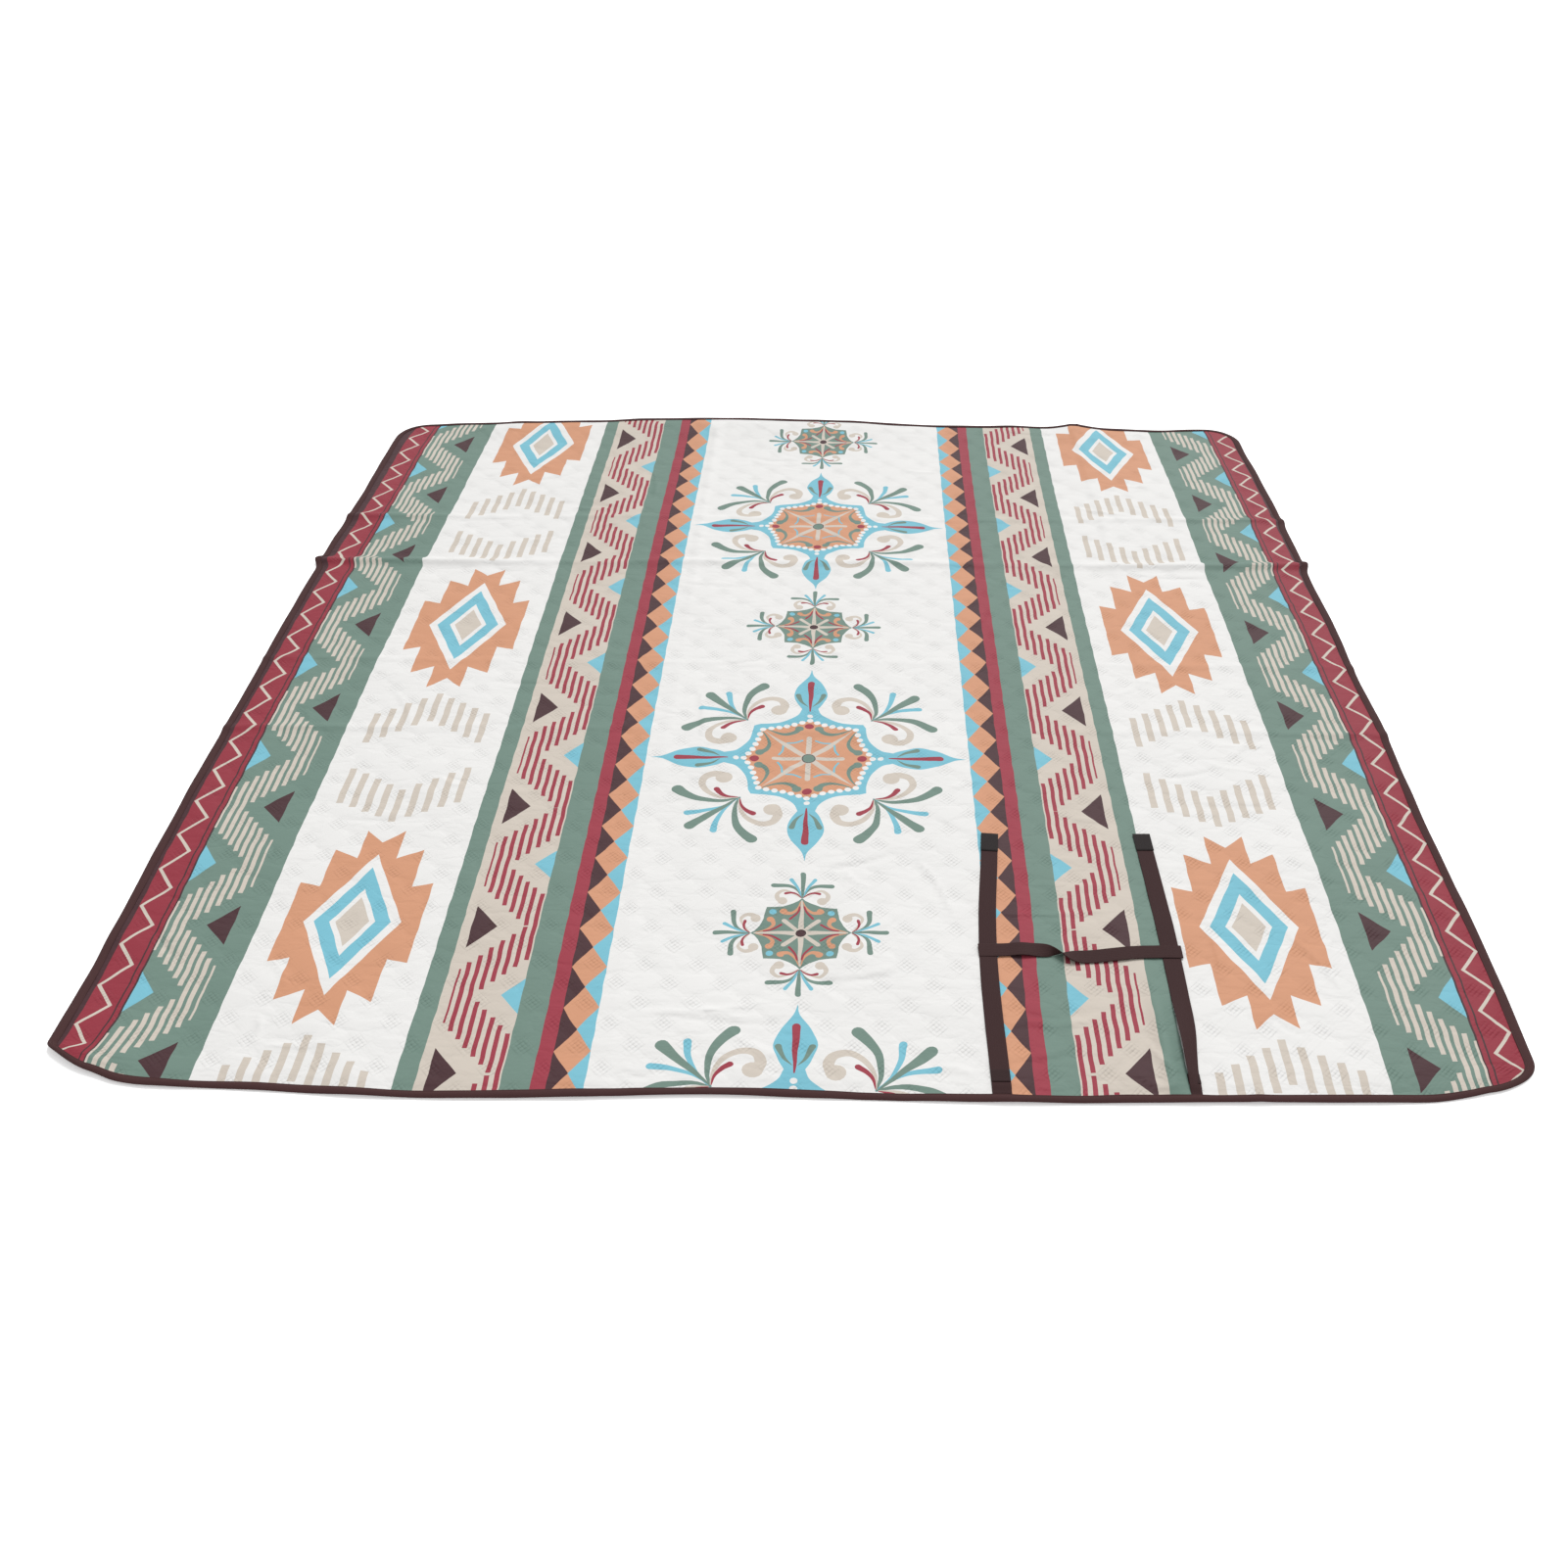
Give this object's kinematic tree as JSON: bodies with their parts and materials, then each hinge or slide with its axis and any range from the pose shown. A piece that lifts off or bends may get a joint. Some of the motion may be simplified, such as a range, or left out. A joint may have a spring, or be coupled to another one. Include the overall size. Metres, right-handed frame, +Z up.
{
  "type": "picnic blanket",
  "caption": "Square padded camp blanket with a printed top, waterproof backing, bound edge, two carry straps and a strap handle; it folds in three.",
  "frame": {"origin": "on the ground under the middle of the spread blanket", "axes": "+X to the right along the front edge, +Y from the front edge with the straps to the back edge, +Z up out of the printed face"},
  "size_m": [2, 2, 0.007],
  "materials": {
    "printed_cover": "printed polyester weave, soft matt",
    "padding": "white fibre wadding",
    "waterproof_backing": "coated fabric, low sheen",
    "edge_binding": "folded woven tape, matt",
    "strap_webbing": "woven strap, matt with a faint sheen",
    "touch_and_close": "hook and loop tape, satin"
  },
  "bodies": {
    "back_panel": {"cover_back": "printed_cover", "padding_back": "padding", "backing_back": "waterproof_backing", "binding_back": "edge_binding"},
    "middle_panel": {"cover_middle": "printed_cover", "padding_middle": "padding", "backing_middle": "waterproof_backing", "binding_middle_left": "edge_binding", "binding_middle_right": "edge_binding"},
    "front_panel": {"cover_front": "printed_cover", "padding_front": "padding", "backing_front": "waterproof_backing", "binding_front": "edge_binding"},
    "left_strap": {"strap_left_base": "strap_webbing", "loop_patch_left": "touch_and_close", "handle_tab_left": "strap_webbing"},
    "right_strap": {"strap_right_base": "strap_webbing", "loop_patch_right": "touch_and_close", "handle_tab_right": "strap_webbing"},
    "left_tail": {"strap_left_tail": "strap_webbing", "hook_patch_left": "touch_and_close"},
    "right_tail": {"strap_right_tail": "strap_webbing", "hook_patch_right": "touch_and_close"},
    "left_handle": {"handle_half_left": "strap_webbing"},
    "right_handle": {"handle_half_right": "strap_webbing"}
  },
  "joints": [
    {"name": "blanket_fold", "type": "hinge", "parent": "back_panel", "child": "middle_panel", "pos_m": [0, 0.36, 0.0083], "axis": [-1, 0, 0], "range_deg": [0, 180]},
    {"name": "front_fold", "type": "hinge", "parent": "middle_panel", "child": "front_panel", "pos_m": [0, -0.32, -0.0043], "axis": [1, 0, 0], "range_deg": [0, 180]},
    {"name": "strap_flip_left", "type": "hinge", "parent": "front_panel", "child": "left_strap", "pos_m": [0.285, -0.983, 0.0051], "axis": [1, 0, 0], "range_deg": [0, 170]},
    {"name": "strap_flip_right", "type": "hinge", "parent": "front_panel", "child": "right_strap", "pos_m": [0.547, -0.983, 0.0051], "axis": [1, 0, 0], "range_deg": [0, 170]},
    {"name": "tail_fold_left", "type": "hinge", "parent": "left_strap", "child": "left_tail", "pos_m": [0.285, -0.7215, 0.00675], "axis": [1, 0, 0], "range_deg": [0, 180]},
    {"name": "tail_fold_right", "type": "hinge", "parent": "right_strap", "child": "right_tail", "pos_m": [0.547, -0.7215, 0.00675], "axis": [1, 0, 0], "range_deg": [0, 180]},
    {"name": "handle_lift_left", "type": "hinge", "parent": "left_strap", "child": "left_handle", "pos_m": [0.285, -0.7225, 0.0058], "axis": [-1, 0, 0], "range_deg": [0, 90]},
    {"name": "handle_lift_right", "type": "hinge", "parent": "right_strap", "child": "right_handle", "pos_m": [0.547, -0.7225, 0.0058], "axis": [-1, 0, 0], "range_deg": [0, 90]}
  ],
  "couplings": [
    {"joint": "front_fold", "follows": "blanket_fold", "ratio": 1},
    {"joint": "strap_flip_right", "follows": "strap_flip_left", "ratio": 1},
    {"joint": "handle_lift_right", "follows": "handle_lift_left", "ratio": 1}
  ]
}
